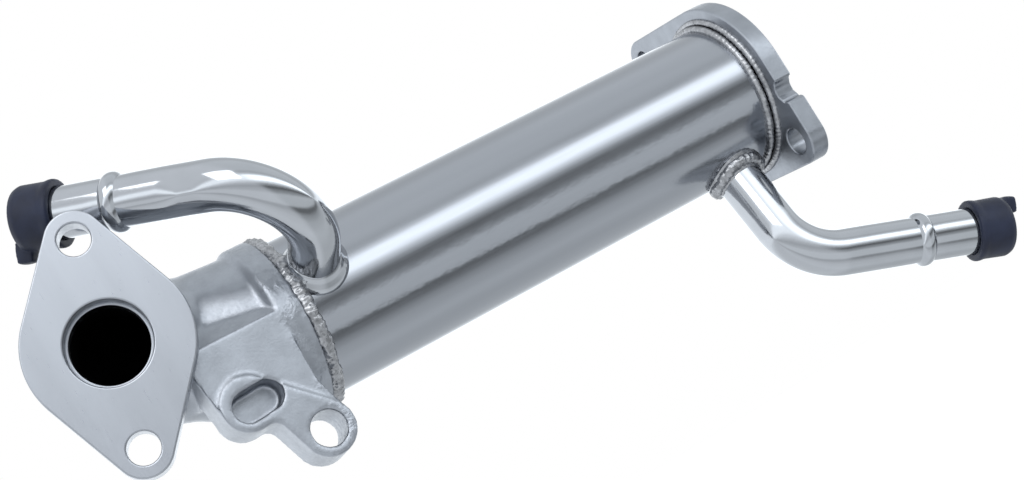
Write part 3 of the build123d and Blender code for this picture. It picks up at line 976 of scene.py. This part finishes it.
frontWeld = {"x": -173.4, "radius": 25.7, "Bead Radius": 2.3 * mm, "Ripple Pitch": 1.7 * mm,
             "Ripple Height": 0.10 * mm, "Lumps": 2.4 * mm, "Lump Size": 1.5 * mm, "Seed": 4}
rearWelds = [{"x": -8.6, "radius": 25.3, "Bead Radius": 1.15 * mm, "Ripple Pitch": 1.6 * mm,
              "Ripple Height": 0.14 * mm, "Lumps": 0.35 * mm, "Lump Size": 3.0 * mm, "Seed": 7},
             {"x": -6.6, "radius": 27.0, "Bead Radius": 1.1 * mm, "Ripple Pitch": 1.6 * mm,
              "Ripple Height": 0.12 * mm, "Lumps": 0.30 * mm, "Lump Size": 3.0 * mm, "Seed": 9}]
outletBraze = {"reach": 8.4, "lift": 1.6, "Bead Radius": 1.75 * mm, "Ripple Pitch": 1.8 * mm,
               "Ripple Height": 0.28 * mm, "Lumps": 1.5 * mm, "Lump Size": 1.8 * mm, "Seed": 12}
flare = {  # rows of distance from the pipe's axis and height over the shell, from the top outwards
    "inlet": [(7.3, 4.6), (7.62, 4.4), (7.9, 3.9), (8.25, 3.1), (8.5, 2.6), (9.3, 2.0), (9.75, 1.2),
              (9.9, 0.3), (9.9, -0.8), (7.3, -0.8)],
    "outlet": [(7.3, 4.0), (7.65, 3.8), (8.0, 3.2), (8.6, 2.5), (9.3, 1.6), (9.9, 0.6), (10.2, 0.1),
               (10.2, -0.8), (7.3, -0.8)],
    "wobble": 0.18,
}


def flarePiece(name, pipe, rows, count=120):
    # a ring round the foot of a pipe that follows the round of the shell
    bm = bmesh.new()
    rings = []
    for reach, lift in rows:
        ring = []
        for index, point in enumerate(saddleSeam(pipe, reach, 0, count)):
            wobble = noise.noise(Vector((index * 0.12, reach * 0.4, lift * 0.3))) * flare["wobble"]
            ring.append(bm.verts.new((point + Vector(pipe["way"]) * (lift + wobble)) * mm))
        rings.append(ring)
    for lower, upper in zip(rings, rings[1:] + rings[:1]):
        for index in range(count):
            following = (index + 1) % count
            bm.faces.new((lower[index], lower[following], upper[following], upper[index]))
    bmesh.ops.recalc_face_normals(bm, faces=bm.faces)
    mesh = bpy.data.meshes.new(name)
    bm.to_mesh(mesh)
    bm.free()
    shadeSmooth(mesh, 60)
    return linkObject(name, mesh)


def layBead(name, tree, seam, sizes, stands=()):
    bead = runTree(name, tree, sizes, weldSteel, lineMesh(name, seam, closed=True))
    shadeSmooth(bead.data, 180)
    dress(bead, weldSteel, stands)


def buildWelds():
    tree = weldTree()
    layBead("frontWeldBead", tree, ringSeam(frontWeld["x"], frontWeld["radius"]), frontWeld, ["front_weld"])
    for number, weld in enumerate(rearWelds, start=1):
        stands = ["rear_weld"] if number == 1 else ()
        layBead(f"rearWeldBead{number}", tree, ringSeam(weld["x"], weld["radius"]), weld, stands)
    inletRing = flarePiece("inletPipeFlare", inletPipe, flare["inlet"])
    dress(inletRing, pipeSteel, ["coolant_inlet_braze"])
    outletRing = flarePiece("outletPipeFlare", outletPipe, flare["outlet"])
    dress(outletRing, weldSteel, ["coolant_outlet_braze"])
    seam = saddleSeam(outletPipe, outletBraze["reach"], outletBraze["lift"])
    layBead("outletPipeBead", tree, seam, outletBraze)


buildWelds()
report("welds laid")


# Transport caps: moulded rubber, one soft skin over the sleeve and its pull lug

caps = {
    "radius": 9.7,
    "mouthRadius": 9.9,
    "bore": 7.52,
    "length": 13.0,
    "end": 1.6,
    "voxel": 0.4,
    "smoothing": 6,
    "lugBall": 0.62,  # radius of the ball that the lug's block is drawn towards
    "lugRoundness": 0.35,
    "inletLug": {"way": (-0.43, 0.30, -0.85), "size": (6.5, 5.5, 5.2), "out": 9.2, "ahead": 0.6},
    "outletLug": {"way": (0.43, -0.30, 0.85), "size": (5.4, 5.0, 5.2), "out": 6.4, "ahead": 2.6},
}


def buildCap(name, pipe, lug, node):
    tip = Vector(pipe["corners"][-1])
    way = (tip - Vector(pipe["corners"][-2])).normalized()
    mouth = caps["end"] - caps["length"]
    radius, lip = caps["radius"], caps["mouthRadius"]
    # closed end, side, lip at the mouth, and back up the bore to its bottom
    outline = [(caps["end"], 0), (caps["end"], radius - 2.6), (caps["end"] - 0.9, radius - 0.8),
               (caps["end"] - 2.6, radius), (mouth + 3.0, radius - 0.15), (mouth + 1.6, lip),
               (mouth + 0.3, lip), (mouth, lip - 0.5), (mouth, caps["bore"]), (0.05, caps["bore"]), (0.05, 0)]
    cap = turnedPiece(name, tip, way, outline, 96)
    # the lug is a rounded block let into the closed end
    along, across, third = directionsRound(way, lug["way"])
    bm = bmesh.new()
    bm.from_mesh(cap.data)
    corners = bmesh.ops.create_cube(bm, size=1.0)["verts"]
    edges = list({edge for vertex in corners for edge in vertex.link_edges})
    bmesh.ops.subdivide_edges(bm, edges=edges, cuts=3, use_grid_fill=True)
    nearest = 0.4  # the block is still a metre wide here, so its points lie farther out than the cap's
    for vertex in [vertex for vertex in bm.verts if vertex.co.length > nearest]:
        ball = vertex.co.normalized() * caps["lugBall"]
        shape = vertex.co.lerp(ball, caps["lugRoundness"])
        spot = tip + across * (lug["out"] + shape.x * lug["size"][0]) + third * (shape.y * lug["size"][1])
        vertex.co = (spot + along * (lug["ahead"] + shape.z * lug["size"][2])) * mm
    bm.to_mesh(cap.data)
    bm.free()
    remesh = cap.modifiers.new("oneSkin", "REMESH")
    remesh.mode = "VOXEL"
    remesh.voxel_size = caps["voxel"] * mm
    smooth = cap.modifiers.new("mouldedEdges", "SMOOTH")
    smooth.factor = 0.5
    smooth.iterations = caps["smoothing"]
    bakeModifiers(cap)
    shadeSmooth(cap.data, 180)
    dress(cap, capRubber, [node])


buildCap("inletPipeCap", inletPipe, caps["inletLug"], "coolant_inlet_cap")
buildCap("outletPipeCap", outletPipe, caps["outletLug"], "coolant_outlet_cap")
report("caps moulded")


# Tube plates keep their solids and take the near-black finish, painted shade deep inside the cooler

for nodeName in ("front_tube_plate", "rear_tube_plate"):
    for slot in nodes[nodeName].material_slots:
        slot.material = paintedShadeSteel
report("tube plates finished")
